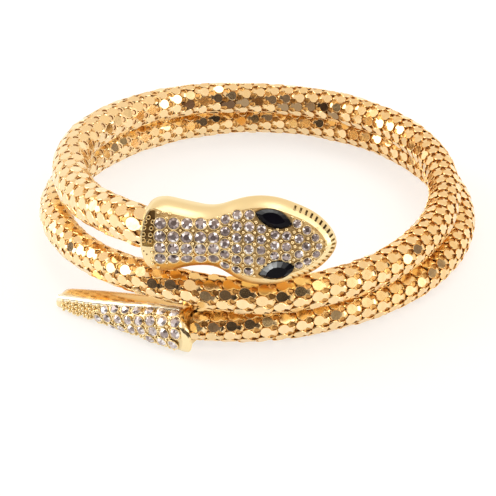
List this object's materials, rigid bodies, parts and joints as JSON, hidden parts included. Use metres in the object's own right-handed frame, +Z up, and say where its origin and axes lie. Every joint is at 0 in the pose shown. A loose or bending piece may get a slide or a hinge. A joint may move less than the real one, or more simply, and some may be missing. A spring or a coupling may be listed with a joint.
{
  "type": "coiled mesh chain bracelet",
  "caption": "Springy scale-mesh chain bracelet coiled round the wrist, with a stone-paved serpent head at one end and a paved tapering tail at the other.",
  "frame": {"origin": "centre of the bounding box, at the surface that the coil rests on", "axes": "+Z up through the wrist opening, head at the front toward -Y with its snout toward +X"},
  "size_m": [0.0808, 0.0854, 0.0276],
  "materials": {
    "scale_mesh": "polished gold plate",
    "casting": "polished gold plate, paved with clear crystals",
    "eye_stone": "faceted, opaque black"
  },
  "bodies": {
    "root": {"mesh_strand": "scale_mesh", "head": "casting", "upper_eye_stone": "eye_stone", "lower_eye_stone": "eye_stone", "tail_cap": "casting"}
  },
  "joints": []
}
